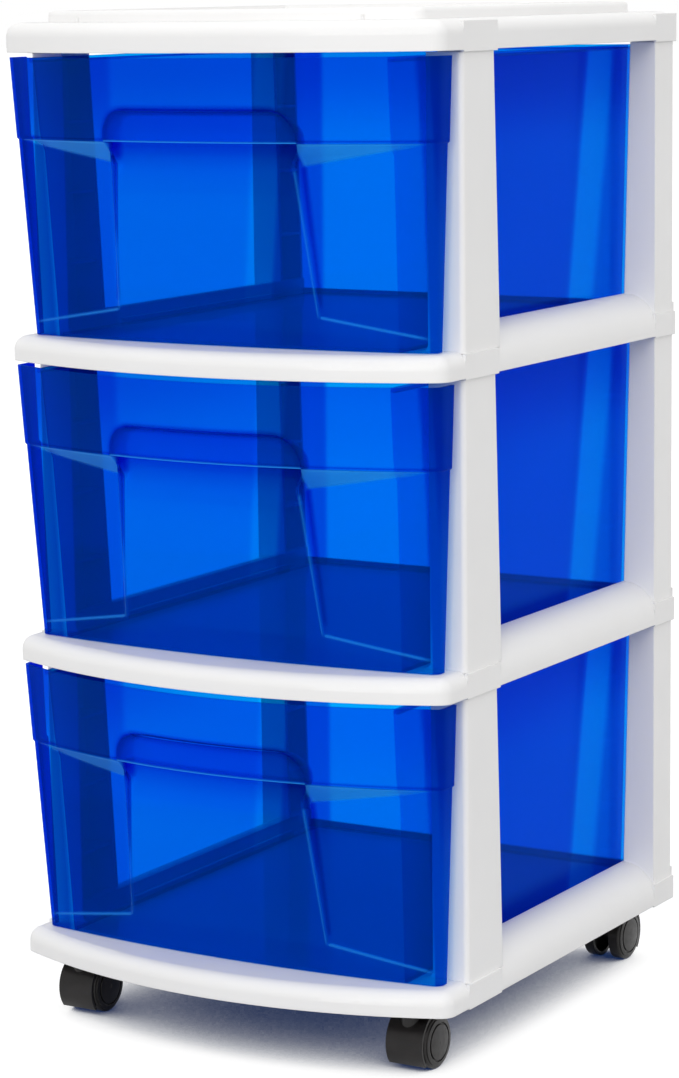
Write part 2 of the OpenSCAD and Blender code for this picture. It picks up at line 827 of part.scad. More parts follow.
// Half section of a wheel: x is the distance from the axle, y the distance from the inner face
module wheel_section() {
    difference() {
        union() {
            square([wheel_r, tread_w - shoulder_r]);
            square([wheel_r - shoulder_r, tread_w]);
            translate([wheel_r - shoulder_r, tread_w - shoulder_r]) circle(r = shoulder_r);
            intersection() {
                square([cap_r, wheel_w]);
                translate([0, wheel_w - crown_r]) circle(r = crown_r, $fn = fine_fn);
            }
        }
        translate([groove_r - groove_w, wheel_w - pow(groove_r, 2) / (2 * crown_r) - groove_d])
            square([groove_w, wheel_w]);
        translate([hub_r, -1]) square([wheel_r - tread_t - hub_r, tread_w - cap_t + 1]);
        translate([-1, -1]) square([axle_r + stem_gap + 1, wheel_w - cap_t / 2 + 1]);
    }
}

// Right-hand wheel
module caster_wheel() color(caster_black)
    translate([web_w / 2 + wheel_gap, trail, wheel_r]) rotate([0, 90, 0])
        rotate_extrude($fn = round_fn) wheel_section();

module left_half() mirror([1, 0, 0]) children();

module place_caster(sx, back) translate([sx * stem_x, post_y + (back ? stem_back_y : stem_front_y), 0])
    rotate([0, 0, back ? 180 : 0]) children();

module stem_front_left() place_caster(-1, false) caster_stem();

module hood_front_left() place_caster(-1, false) caster_hood();

module axle_front_left() place_caster(-1, false) caster_axle();

module wheel_front_left_l() place_caster(-1, false) left_half() caster_wheel();

module wheel_front_left_r() place_caster(-1, false) caster_wheel();

module stem_front_right() place_caster(1, false) caster_stem();

module hood_front_right() place_caster(1, false) caster_hood();

module axle_front_right() place_caster(1, false) caster_axle();

module wheel_front_right_l() place_caster(1, false) left_half() caster_wheel();

module wheel_front_right_r() place_caster(1, false) caster_wheel();

module stem_back_left() place_caster(-1, true) caster_stem();

module hood_back_left() place_caster(-1, true) caster_hood();

module axle_back_left() place_caster(-1, true) caster_axle();

module wheel_back_left_l() place_caster(-1, true) caster_wheel();

module wheel_back_left_r() place_caster(-1, true) left_half() caster_wheel();

module stem_back_right() place_caster(1, true) caster_stem();

module hood_back_right() place_caster(1, true) caster_hood();

module axle_back_right() place_caster(1, true) caster_axle();

module wheel_back_right_l() place_caster(1, true) caster_wheel();

module wheel_back_right_r() place_caster(1, true) left_half() caster_wheel();

top_cover();
frame_top();
frame_middle();
frame_bottom();
drawer_top();
drawer_middle();
drawer_bottom();
stem_front_left();
hood_front_left();
axle_front_left();
wheel_front_left_l();
wheel_front_left_r();
stem_front_right();
hood_front_right();
axle_front_right();
wheel_front_right_l();
wheel_front_right_r();
stem_back_left();
hood_back_left();
axle_back_left();
wheel_back_left_l();
wheel_back_left_r();
stem_back_right();
hood_back_right();
axle_back_right();
wheel_back_right_l();
wheel_back_right_r();
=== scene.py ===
import math

import bmesh
import bpy
import numpy as np
from mathutils import Matrix, Vector


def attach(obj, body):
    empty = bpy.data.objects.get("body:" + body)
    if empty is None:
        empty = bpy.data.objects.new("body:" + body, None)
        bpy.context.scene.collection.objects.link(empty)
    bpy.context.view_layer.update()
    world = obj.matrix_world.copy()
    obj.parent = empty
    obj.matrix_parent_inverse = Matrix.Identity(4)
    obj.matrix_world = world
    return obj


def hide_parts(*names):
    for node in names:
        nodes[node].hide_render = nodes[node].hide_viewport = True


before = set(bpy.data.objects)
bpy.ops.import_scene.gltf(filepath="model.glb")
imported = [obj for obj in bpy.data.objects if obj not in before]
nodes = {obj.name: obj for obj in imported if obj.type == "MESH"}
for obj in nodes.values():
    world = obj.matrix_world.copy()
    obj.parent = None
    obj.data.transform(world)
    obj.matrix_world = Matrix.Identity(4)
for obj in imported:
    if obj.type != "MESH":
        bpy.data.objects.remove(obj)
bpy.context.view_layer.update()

MM = 0.001

# Where things stand in the frame, in millimetres
POST_Y = -114.25
LIFT = 39.0
PITCH = 190.0
DRAWER_FOOT = 16.8
TIERS = {"bottom": 0, "middle": 1, "top": 2}


# ---------------------------------------------------------------- helpers

def blend(a, b, t):
    return a + (b - a) * t


def smooth(t):
    t = np.clip(t, 0.0, 1.0)
    return t * t * (3 - 2 * t)


def step(distance, over):
    """0 before a place and 1 past it, rising smoothly over the given distance."""
    return smooth(distance / over)


def near(distance, within):
    """1 at a crease, falling to 0 at the given distance from it."""
    return 1 - smooth(np.abs(distance) / within)


def left_right(x, pair):
    """The first value of the pair left of the middle, the second one right of it."""
    return np.where(x < 0, *pair)


def new_object(name, mesh):
    obj = bpy.data.objects.new(name, mesh)
    bpy.context.scene.collection.objects.link(obj)
    return obj


def shade_smooth(mesh, angle):
    mesh.polygons.foreach_set("use_smooth", [True] * len(mesh.polygons))
    mesh.set_sharp_from_angle(angle=math.radians(angle))


def turn_faces_outwards(mesh):
    work = bmesh.new()
    work.from_mesh(mesh)
    bmesh.ops.recalc_face_normals(work, faces=work.faces)
    work.to_mesh(mesh)
    work.free()


class Shell:
    """Collects closed shells of quads in millimetres and turns them into one mesh in metres.

    Each point has a tone, from -1 where the moulding is thin and pale to 1 where it is deepest, which also
    carries painted shade and painted light, and a glint, from 0 to 1, a painted highlight on the edges that
    catch the light.
    """

    def __init__(self):
        self.points = []
        self.faces = []
        self.values = {"tone": [], "glint": []}

    def grid_slab(self, outer, inner, tone=0.0, glint=0.0):
        """A sheet between two grids of points, each (rows, columns, 3), closed round its edges."""
        rows, cols = outer.shape[:2]
        start = len(self.points)
        self.points.extend(outer.reshape(-1, 3))
        self.points.extend(inner.reshape(-1, 3))
        for name, value in (("tone", tone), ("glint", glint)):
            self.values[name].extend(np.tile(np.broadcast_to(value, (rows, cols)).ravel(), 2))
        half = rows * cols

        def a(r, c):
            return start + r * cols + c

        def b(r, c):
            return start + half + r * cols + c

        for r in range(rows - 1):
            for c in range(cols - 1):
                self.faces.append((a(r, c), a(r, c + 1), a(r + 1, c + 1), a(r + 1, c)))
                self.faces.append((b(r, c), b(r + 1, c), b(r + 1, c + 1), b(r, c + 1)))
        for c in range(cols - 1):
            self.faces.append((a(0, c), b(0, c), b(0, c + 1), a(0, c + 1)))
            self.faces.append((a(rows - 1, c), a(rows - 1, c + 1), b(rows - 1, c + 1), b(rows - 1, c)))
        for r in range(rows - 1):
            self.faces.append((a(r, 0), a(r + 1, 0), b(r + 1, 0), b(r, 0)))
            self.faces.append((a(r, cols - 1), b(r, cols - 1), b(r + 1, cols - 1), a(r + 1, cols - 1)))

    def mesh(self, name):
        mesh = bpy.data.meshes.new(name)
        mesh.from_pydata([tuple(p * MM) for p in np.asarray(self.points)], [], self.faces)
        mesh.update()
        for key, values in self.values.items():
            layer = mesh.attributes.new(key, "FLOAT", "POINT")
            layer.data.foreach_set("value", np.array(values, np.float32))
        return mesh


# ---------------------------------------------------------------- drawer

DRAWER_H = 171.4
WALL = 2.0
FRONT_HALF_FOOT, FRONT_HALF_TOP = 144.0, 150.5
DROP_FOOT, DROP_TOP = 28.0, 62.0
END_DROP_FOOT, END_DROP_TOP = 17.0, 26.0
LEDGE_H = 121.7
LEDGE_SLOPE = 14.0
RECESS_DEPTH = 11.0
RECESS_END_X = 147.0
RECESS_FOOT_DEPTH = 1.5
RECESS_FOOT_IN, RECESS_FOOT_OUT, RECESS_FOOT_OUT_X = 20.6, 9.2, 142.0
FOOT_SLOPE = 3.0
TONGUE_TOP, TONGUE_FOOT = 64.0, 72.0
TONGUE_SIDE = 2.5
CORNER_R = 6.0
RETURN_Y = -9.0
PULL_HALF, PULL_RISE, PULL_R = 66.8, 19.0, 17.0
PULL_DEPTH, SCOOP_H = 15.0, 45.0
# How much narrower the front is on each side below its band
BAND_STEP = 1.3
BOX_FOOT, BOX_TOP = 121.5, 125.0
BOX_BACK_FOOT, BOX_BACK_TOP = 283.0, 284.6
BOX_R = 5.0
LIP_W, LIP_H = 2.6, 3.0
LIP_OVERLAP = 0.2
LIP_STEPS = 10
ARC_STEPS = 8
CREASE_ANGLE = 40

# Tones, from -1 to 1: the front's own, the painted shade and painted light that its features add, and those
# of the floor and the pull's band
TONE_FRONT = -0.3
# Painted shade: the drawer darkens towards its top, under the frame above
TOP_SHADE, TOP_SHADE_FROM, TOP_SHADE_RISE = 0.3, 105.0, 60.0
# Painted shade in the finger pull, round its outline, in the scoop under the lip and along the ledge line;
# painted light on the ledges
TONE_PULL, OUTLINE_SHADE, SCOOP_SHADE, LINE_SHADE, LEDGE_LIGHT = 0.1, 0.8, 0.8, 0.8, -0.7
TONE_FLOOR = -1.0
# The pull's band piece: its own tone, and painted shade along its edge round the finger pull
TONE_PULL_BAND, PULL_BAND_EDGE_SHADE = -0.15, 0.5
# Widths of the painted dark outline of the finger pull and of the ledge line
OUTLINE_W = 4.5
LINE_W = 1.2
# Painted shade: the deep bands at the two ends, as (left, right), where the posts behind lie in shade, and
# the deeper strips at their outer edges
END_SHADE, END_X = 0.75, (123, 138)
EDGE_SHADE, EDGE_X = (0.7, 0.4), (138, 145)
# Painted highlights (glints) on the ledge line, the tongue's edges, the foot and top of a recess, the ledge
# and the pull's lip
GLINT_LINE, GLINT_TONGUE = 0.35, 0.45
GLINT_FOOT, GLINT_UNDER = 0.45, 0.25
GLINT_LEDGE, GLINT_LIP = 0.5, 0.7
GLINT_END_X, UNDER_END_X = 146, 140

# The side walls change their tone at these depths, given at the foot and at the top of the box
WALL_FRONT_Y = 40.0
PALE_FOOT_Y, PALE_TOP_Y = 194.0, 218.0
CORNER_FOOT_Y, CORNER_TOP_Y = 229.0, 257.0
BACK_CORNER_X = 108.0
SIDE_X = BOX_FOOT - 12
FRONT_BLUR, SIDE_BLUR, BACK_BLUR = 8.0, 4.0, 5.0
# Tones of the side walls, as (left, right): their own, and what the front end, rear and back corner add;
# left and right differ as painted shade and painted light
TONE_SIDE, TONE_SIDE_FRONT = (0.1, 0.5), (0.3, -1.3)
TONE_SIDE_REAR, TONE_SIDE_CORNER = (-0.4, -0.9), (0.8, 0.6)


def half_at(z):
    """Half width of the front at a height. Below the band it is a little narrower."""
    below = 1 - step(z - LEDGE_H + LINE_W / 2, over=LINE_W)
    return blend(FRONT_HALF_FOOT, FRONT_HALF_TOP, z / DRAWER_H) - BAND_STEP * below


def bow(x, z):
    """Depth of the plain bowed front, before the recesses and the finger pull."""
    drop = blend(DROP_FOOT, DROP_TOP, z / DRAWER_H)
    end = blend(END_DROP_FOOT, END_DROP_TOP, z / DRAWER_H)
    return blend(-drop, -end, (x / half_at(z)) ** 2)


def inward(x):
    """0 at the outer end of a side recess, 1 at the tongue."""
    return np.clip((RECESS_END_X - np.abs(x)) / (RECESS_END_X - TONGUE_TOP), 0, 1)


def tongue_at(z):
    return blend(TONGUE_FOOT, TONGUE_TOP, np.clip(z / (LEDGE_H - LEDGE_SLOPE), 0, 1))


def ledge_foot(x):
    return LEDGE_H - np.maximum(LEDGE_SLOPE * inward(x), 0.6)


def recess_foot(x):
    t = np.clip((np.abs(x) - TONGUE_FOOT) / (RECESS_FOOT_OUT_X - TONGUE_FOOT), 0, 1)
    return blend(RECESS_FOOT_IN, RECESS_FOOT_OUT, t)


def recess_depth(x, z):
    """Depth of the side recesses, which deepen upwards and end under a sloping ledge."""
    low, high = recess_foot(x), ledge_foot(x)
    deep, shallow = RECESS_DEPTH * inward(x), RECESS_FOOT_DEPTH * inward(x)
    rise = np.clip((z - low + FOOT_SLOPE) / FOOT_SLOPE, 0, 1) * shallow
    body = np.clip((z - low) / (high - low), 0, 1) * (deep - shallow)
    ledge = 1 - np.clip((z - high) / (LEDGE_H - high), 0, 1)
    side = np.clip((np.abs(x) - tongue_at(z)) / TONGUE_SIDE, 0, 1)
    return (rise + body) * ledge * side


def arch_half(z):
    """Half width of the finger pull at a height: an arch above the ledge line, a neck below it."""
    up = z - LEDGE_H
    past = np.clip(up - PULL_RISE + PULL_R, 0, PULL_R)
    rounded = PULL_HALF - PULL_R + np.sqrt(np.clip(PULL_R ** 2 - past ** 2, 0, None))
    neck = tongue_at(z) - 1
    leg = blend(PULL_HALF, neck, smooth(np.clip(-up / LEDGE_SLOPE, 0, 1)))
    return np.where(up > PULL_RISE, 0, np.where(up >= 0, rounded, leg))


def arch_inside(x, z):
    """How far a point lies inside the outline of the finger pull; negative outside."""
    up = z - LEDGE_H
    qx = np.abs(x) - (PULL_HALF - PULL_R)
    qz = up - (PULL_RISE - PULL_R)
    corner = PULL_R - np.hypot(np.maximum(qx, 0), np.maximum(qz, 0))
    flat = np.minimum(PULL_HALF - np.abs(x), PULL_RISE - up)
    above = np.where((qx > 0) & (qz > 0), corner, flat)
    below = arch_half(z) - np.abs(x)
    return np.where(up >= 0, above, below)


def scoop_share(z):
    """1 at the ledge line and above, falling to 0 at the foot of the scoop."""
    return (1 - np.clip((LEDGE_H - z) / SCOOP_H, 0, 1)) ** 2


def pull_depth(x, z):
    return PULL_DEPTH * scoop_share(z) * step(arch_inside(x, z), over=2.4)


def front_y(x, z):
    return bow(x, z) + np.maximum(recess_depth(x, z), pull_depth(x, z))


def front_at(x, z):
    """Depth of the front's outer skin at one point."""
    return float(front_y(np.array([x]), np.array([z]))[0])


# Painted shade, darker towards the top of the drawer, where the frame above shades it
def top_shade(z):
    return TOP_SHADE * step(z - TOP_SHADE_FROM, over=TOP_SHADE_RISE)


def ledge_share(x, z):
    """1 on the sloping ledge over a side recess."""
    beside = step(np.abs(x) - tongue_at(z) - 1, over=2)
    return beside * step(LEDGE_H - z, over=1)


def front_tone(x, z):
    """Painted shade: darker towards the top, at the ends, round the finger pull and beside the tongue.
    Painted light: pale on the ledges.
    """
    ax = np.abs(x)
    inside = arch_inside(x, z)
    in_pull = step(inside + 1, over=3)
    above = step(z - LEDGE_H + 2, over=3)
    # Painted shade at the ends, deeper and wider on the left
    ends = END_SHADE * step(ax - left_right(x, END_X), over=2)
    edges = left_right(x, EDGE_SHADE) * step(ax - left_right(x, EDGE_X), over=3)
    # Painted shade in and round the finger pull, partly the longer path through its steep walls, and along
    # the ledge line; painted light on the sloping ledges
    pull = TONE_PULL * above * in_pull
    outline = OUTLINE_SHADE * near(inside, within=OUTLINE_W) * step(z - LEDGE_H + LEDGE_SLOPE, over=6)
    scoop = SCOOP_SHADE * in_pull * (1 - above) * scoop_share(z)
    ledge = LEDGE_LIGHT * ledge_share(x, z) * step(z - ledge_foot(x) + 0.5, over=1)
    ledge = ledge * step(inward(x) - 0.02, over=0.125)
    # Painted shade in the crease beside the tongue, partly the longer path through its steep side wall
    wall = near(ax - tongue_at(z) - 0.8 * TONGUE_SIDE, within=1.6)
    wall = wall * step(z - recess_foot(x), over=8) * (z < LEDGE_H)
    line = LINE_SHADE * near(z - LEDGE_H - LINE_W, within=LINE_W) * step(-inside, over=2)
    return TONE_FRONT + top_shade(z) + ends + edges + pull + outline + scoop + wall + line + ledge


def front_glint(x, z):
    """Painted highlights where the ledges, the edges of the tongue and the foot of each recess catch the
    light.
    """
    ax = np.abs(x)
    beside = step(ax - tongue_at(z), over=2)
    line = near(z - LEDGE_H + 0.5, within=0.8) * step(-arch_inside(x, z), over=2)
    line = line * step(GLINT_END_X - ax, over=10)
    low = step(z - recess_foot(x) + 4, over=4) * step(LEDGE_H - LEDGE_SLOPE - z, over=4)
    tongue = near(ax - tongue_at(z) + 0.2, within=0.8) * low
    foot = near(z - recess_foot(x) + FOOT_SLOPE / 2, within=1.8)
    foot = foot * beside * step(GLINT_END_X - ax, over=16)
    under = near(z - ledge_foot(x), within=0.9) * beside * step(UNDER_END_X - ax, over=10)
    ledge = ledge_share(x, z) * step(z - ledge_foot(x), over=1) * step(inward(x), over=0.4)
    glint = GLINT_LINE * line + GLINT_TONGUE * tongue + GLINT_FOOT * foot + GLINT_UNDER * under
    return np.clip(glint + GLINT_LEDGE * ledge, 0, 1)


def spread(*pieces):
    """Joins (start, end, steps) pieces into one list of numbers."""
    values = [pieces[0][0]]
    for start, end, steps in pieces:
        values.extend(blend(start, end, i / steps) for i in range(1, steps + 1))
    return np.array(values)


def front_grid():
    """Outer points of the drawer front and their inward directions: rows upwards, columns to the right."""
    # Columns: below 1 on the tongue, 1 to 2 on its side wall, 2 to 3 over the recess
    half = spread((0, 0.97, 44), (0.97, 1, 3), (1, 2, 4), (2, 2.02, 2), (2.02, 3, 44))
    # Rows: v 0-1 below the recess, 1-2 its foot, 2-3 the recess, 3-4 the ledge, 4-5 the band
    v = spread((0, 0.9, 5), (0.9, 1, 2), (1, 2, 4), (2, 2.02, 2), (2.02, 2.98, 50), (2.98, 3, 2),
               (3, 3.08, 2), (3.08, 3.92, 9), (3.92, 4, 2), (4, 4.04, 3), (4.04, 4.5, 22), (4.5, 5, 16))

    def row_height(x):
        low, high = recess_foot(x), ledge_foot(x)
        keys = [0 * x, low - FOOT_SLOPE, low, high, LEDGE_H + 0 * x, DRAWER_H + 0 * x]
        z = np.zeros((len(v), len(x)))
        for i, value in enumerate(v):
            k = min(int(value), 4)
            z[i] = blend(keys[k], keys[k + 1], value - k)
        return z

    rough = np.where(half <= 1, half * TONGUE_TOP,
                     blend(TONGUE_TOP + TONGUE_SIDE, FRONT_HALF_FOOT - CORNER_R, np.clip(half - 2, 0, 1)))
    z = row_height(rough)
    h, t = half_at(z), tongue_at(z)
    u = half[None, :]
    x = np.where(u <= 1, u * t, np.where(u <= 2, t + TONGUE_SIDE * (u - 1),
                 blend(t + TONGUE_SIDE, h - CORNER_R, np.clip(u - 2, 0, 1))))
    y = front_y(x, z)
    points = np.stack([x, y, z], -1)
    inner = np.zeros_like(points)
    inner[..., 1] = 1
    # Rounded corner and the return along the side
    ze, he = z[:, -1], h[:, -1]
    cy = bow(he - CORNER_R, ze) + CORNER_R
    extra, extra_in = [], []
    for a in np.radians(np.linspace(0, 90, 7)[1:]):
        extra.append(np.stack([he - CORNER_R + CORNER_R * math.sin(a), cy - CORNER_R * math.cos(a), ze], -1))
        extra_in.append(np.tile([-math.sin(a), math.cos(a), 0], (len(ze), 1)))
    for t2 in (0.5, 1.0):
        extra.append(np.stack([he, blend(cy, RETURN_Y, t2), ze], -1))
        extra_in.append(np.tile([-1.0, 0, 0], (len(ze), 1)))
    points = np.concatenate([points, np.stack(extra, 1)], 1)
    inner = np.concatenate([inner, np.stack(extra_in, 1)], 1)
    flip = np.array([-1, 1, 1])
    points = np.concatenate([(points * flip)[:, :0:-1], points], 1)
    inner = np.concatenate([(inner * flip)[:, :0:-1], inner], 1)
    return points, inner


def soften(points, rounds=2):
    """Rounds the creases of a grid a little by averaging the depth with its neighbours."""
    y = points[:, :, 1].copy()
    for _ in range(rounds):
        for axis in (0, 1):
            n = np.moveaxis(y, axis, 0)
            mid = (n[:-2] + 2 * n[1:-1] + n[2:]) / 4
            n[1:-1] = mid
    points[:, :, 1] = y
    return points


def box_ring(z, inset):
    """Plan of the drawer box at a height, from its left front end round the back to its right front end."""
    t = z / DRAWER_H
    half = blend(BOX_FOOT, BOX_TOP, t) - inset
    back = blend(BOX_BACK_FOOT, BOX_BACK_TOP, t) - inset
    r = BOX_R - inset
    front = front_at(blend(BOX_FOOT, BOX_TOP, t), z) + WALL / 2
    pale = blend(PALE_FOOT_Y, PALE_TOP_Y, t)
    corner = blend(CORNER_FOOT_Y, CORNER_TOP_Y, t)
    # Points stand close together where the tone changes
    along = spread((front, WALL_FRONT_Y, 3), (WALL_FRONT_Y, WALL_FRONT_Y + FRONT_BLUR, 3),
                   (WALL_FRONT_Y + FRONT_BLUR, pale, 5), (pale, pale + SIDE_BLUR, 3),
                   (pale + SIDE_BLUR, corner, 2), (corner, corner + SIDE_BLUR, 3),
                   (corner + SIDE_BLUR, back - r, 2))
    across = spread((0, BACK_CORNER_X, 4), (BACK_CORNER_X, BACK_CORNER_X + BACK_BLUR, 3),
                    (BACK_CORNER_X + BACK_BLUR, half - r, 2))
    ring = [(-half, y) for y in along]
    for a in np.radians(np.linspace(180, 90, ARC_STEPS + 1)[1:]):
        ring.append((-half + r + r * math.cos(a), back - r + r * math.sin(a)))
    for x in np.concatenate([-across[-2:0:-1], across[:-1]]):
        ring.append((x, back))
    for a in np.radians(np.linspace(90, 0, ARC_STEPS + 1)):
        ring.append((half - r + r * math.cos(a), back - r + r * math.sin(a)))
    ring.extend((half, y) for y in along[-2::-1])
    return np.array([(x, y, z) for x, y in ring])


def box_walls(shell):
    heights = np.concatenate([np.linspace(0, DRAWER_H - LIP_H, 26), [DRAWER_H - LIP_H / 2]])
    outer = np.stack([box_ring(z, 0) for z in heights])
    inner = np.stack([box_ring(z, WALL) for z in heights])
    x, y, z = outer[..., 0], outer[..., 1], outer[..., 2]
    t = z / DRAWER_H
    side = step(np.abs(x) - SIDE_X, over=SIDE_BLUR)
    front = 1 - step(y - WALL_FRONT_Y, over=FRONT_BLUR)
    rear = step(y - blend(PALE_FOOT_Y, PALE_TOP_Y, t), over=SIDE_BLUR)
    corner = step(y - blend(CORNER_FOOT_Y, CORNER_TOP_Y, t), over=SIDE_BLUR)
    corner = corner * step(np.abs(x) - BACK_CORNER_X, over=BACK_BLUR)
    # Painted shade and painted light on the side walls, different on the left and the right
    tone = left_right(x, TONE_SIDE) + front * left_right(x, TONE_SIDE_FRONT)
    tone = side * (tone + rear * left_right(x, TONE_SIDE_REAR))
    tone = tone + corner * left_right(x, TONE_SIDE_CORNER) + top_shade(z)
    shell.grid_slab(outer, inner, np.clip(tone, -1, 1))


def with_z(ring, z):
    ring = ring.copy()
    ring[:, 2] = z
    return ring


def box_lip(shell):
    """Rolled lip round the top of the box, a rounded bar swept round the plan."""
    wall = box_ring(DRAWER_H, WALL * 0.8)
    outer, inner = [], []
    for i in range(LIP_STEPS, -1, -1):
        a = math.pi * (0.5 - i / LIP_STEPS)
        reach = LIP_W / 2 + LIP_W / 2 * math.cos(a)
        outer.append(with_z(box_ring(DRAWER_H, -reach), DRAWER_H - LIP_H / 2 + LIP_H / 2 * math.sin(a)))
        inner.append(with_z(wall, DRAWER_H - blend(LIP_OVERLAP, LIP_H - LIP_OVERLAP, i / LIP_STEPS)))
    shell.grid_slab(np.stack(outer), np.stack(inner))


def box_floor(shell):
    """Floor of the box: strips from the front sheet to the back edge."""
    cols = np.linspace(-1, 1, 41)
    half = BOX_FOOT - 1
    rows = np.linspace(0, 1, 24)

    def level(z):
        grid = np.zeros((len(rows), len(cols), 3))
        for j, u in enumerate(cols):
            x = u * half
            y0 = front_at(x, z) + WALL / 2
            over = max(0.0, abs(x) - (half - BOX_R))
            y1 = BOX_BACK_FOOT - 1 - BOX_R + math.sqrt(max(BOX_R ** 2 - over ** 2, 0))
            for i, t in enumerate(rows):
                grid[i, j] = (x, blend(y0, y1, t), z)
        return grid

    low, high = level(0.0), level(WALL)
    shell.grid_slab(high[::-1], low[::-1], TONE_FLOOR)


def pull_band(shell):
    """The piece of the band that closes the finger pull in front, with a free lower edge."""
    z = LEDGE_H + np.concatenate([[0, 0.5], np.linspace(1.5, PULL_RISE - 0.4, 16)])
    width = arch_half(z) + 0.8
    u = np.linspace(-1, 1, 61)
    x = width[:, None] * u[None, :]
    zz = np.repeat(z[:, None], len(u), 1)
    y = bow(x, zz)
    # Painted shade along the edge round the finger pull, and a painted highlight on the pull's lip
    edge = near(arch_inside(x, zz), within=OUTLINE_W)
    tone = TONE_PULL_BAND + top_shade(zz) + PULL_BAND_EDGE_SHADE * edge
    lip = GLINT_LIP * near(zz - LEDGE_H, within=LINE_W)
    shell.grid_slab(np.stack([x, y + 0.05, zz], -1), np.stack([x, y + WALL, zz], -1), tone, lip)


def drawer_mesh():
    shell = Shell()
    points, inner = front_grid()
    points = soften(points)
    x, z = points[..., 0], points[..., 2]
    shell.grid_slab(points, points + inner * WALL, np.clip(front_tone(x, z), -1, 1), front_glint(x, z))
    pull_band(shell)
    box_walls(shell)
    box_lip(shell)
    box_floor(shell)
    mesh = shell.mesh("drawer")
    turn_faces_outwards(mesh)
    shade_smooth(mesh, CREASE_ANGLE)
    return mesh


# ---------------------------------------------------------------- materials

# Pairs of colours or roughnesses between which a noise varies a surface
WHITE_COLOURS, WHITE_ROUGH = ((0.868, 0.862, 0.856), (0.890, 0.885, 0.880)), (0.36, 0.46)
BLACK_COLOURS, BLACK_ROUGH = ((0.006, 0.005, 0.005), (0.010, 0.008, 0.008)), (0.28, 0.42)
STEEL_COLOURS, STEEL_ROUGH = ((0.5, 0.5, 0.51), (0.62, 0.62, 0.63)), (0.25, 0.4)
MILK_COLOURS, SHINE_ROUGH = ((0.0, 0.12, 0.72), (0.0, 0.16, 0.80)), (0.05, 0.09)
FLOOR_COLOURS = (0.54, 0.54, 0.54), (0.56, 0.56, 0.56)
# Colour of the painted highlights
GLINT_COLOUR = (0.05, 0.50, 1.0)
SHINE_COLOUR, MILK_SPECULAR = (0.0, 0.20, 0.80), (0.0, 0.3, 0.9)
# Shares of light that a skin of the tinted moulding scatters and reflects, straight on and at a slant
MILK, MILK_SLANT = 0.055, 0.45
SHINE, SHINE_SLANT = 0.03, 0.35
# What a skin lets through where the tone is -1, 0 and 1
THIN, BASE, DEEP = (0.05, 0.85, 1.0), (0.005, 0.595, 0.95), (0.0, 0.085, 0.72)
# Glow of the floor as the camera sees it, and how it darkens where the tower covers it
FLOOR_LIFT = 0.68
FLOOR_SHADE, FLOOR_OPEN = (0.0, 0.02, 0.10), (1.0, 1.0, 1.0)
SHADE_FROM, SHADE_TO, SHADE_REACH = 0.08, 0.36, 0.2


def material(name):
    mat = bpy.data.materials.new(name)
    mat.use_nodes = True
    mat.node_tree.nodes.clear()
    return mat, mat.node_tree


def node(tree, kind, **values):
    """Makes a node. A value is a setting, a number or colour for an input, or an output to link to it."""
    made = tree.nodes.new(kind)
    for key, value in values.items():
        if hasattr(made, key):
            setattr(made, key, value)
        else:
            feed(tree, value, made.inputs[key.replace("_", " ")])
    return made


def feed(tree, value, socket):
    if isinstance(value, bpy.types.NodeSocket):
        tree.links.new(value, socket)
    elif isinstance(value, tuple) and len(value) < len(socket.default_value):
        socket.default_value = (*value, 1)
    else:
        socket.default_value = value


def noise(tree, scale, detail):
    point = tree.nodes.new("ShaderNodeTexCoord").outputs["Object"]
    return node(tree, "ShaderNodeTexNoise", Scale=scale, Detail=detail, Vector=point).outputs["Fac"]


def ramp(tree, source, pair, start=0.35, end=0.65):
    """Maps a texture to a range between two numbers or two colours."""
    made = node(tree, "ShaderNodeValToRGB", Fac=source)
    stops = made.color_ramp.elements
    stops[0].position, stops[1].position = start, end
    for stop, value in zip(stops, pair):
        stop.color = (*value, 1) if isinstance(value, tuple) else (value, value, value, 1)
    return made.outputs["Color"]


def bump(tree, source, distance, strength):
    return node(tree, "ShaderNodeBump", Strength=strength, Distance=distance, Height=source)


def grain(tree, scale, distance, edge_radius):
    """Fine moulding grain on slightly rounded edges."""
    made = bump(tree, noise(tree, scale, 2), distance, 0.6)
    edges = node(tree, "ShaderNodeBevel", samples=6, Radius=edge_radius)
    feed(tree, edges.outputs["Normal"], made.inputs["Normal"])
    return made.outputs["Normal"]


def finish_with(tree, shader):
    node(tree, "ShaderNodeOutputMaterial", Surface=shader)


def white_plastic():
    mat, tree = material("white_plastic")
    bsdf = node(tree, "ShaderNodeBsdfPrincipled", IOR=1.46,
                Base_Color=ramp(tree, noise(tree, 9, 3), WHITE_COLOURS),
                Roughness=ramp(tree, noise(tree, 60, 4), WHITE_ROUGH),
                Subsurface_Weight=0.12, Subsurface_Radius=(1.0, 0.95, 0.9), Subsurface_Scale=0.002,
                Normal=grain(tree, 1400, 0.00006, 0.0009))
    finish_with(tree, bsdf.outputs["BSDF"])
    return mat


def attribute(tree, name):
    return node(tree, "ShaderNodeAttribute", attribute_name=name).outputs["Fac"]


def map_range(tree, source, low, high, start=0.0, end=1.0):
    made = node(tree, "ShaderNodeMapRange", Value=source,
                From_Min=start, From_Max=end, To_Min=low, To_Max=high)
    return made.outputs[0]


def math_node(tree, operation, first, second):
    made = node(tree, "ShaderNodeMath", operation=operation)
    for value, socket in zip((first, second), made.inputs):
        feed(tree, value, socket)
    return made.outputs[0]


def mixed_colour(tree, share, first, second, how="MIX"):
    made = node(tree, "ShaderNodeMix", data_type="RGBA", blend_type=how, Factor=share, A=first, B=second)
    return made.outputs["Result"]


def mixed(tree, share, first, second):
    made = node(tree, "ShaderNodeMixShader", Fac=share)
    feed(tree, first, made.inputs[1])
    feed(tree, second, made.inputs[2])
    return made.outputs[0]


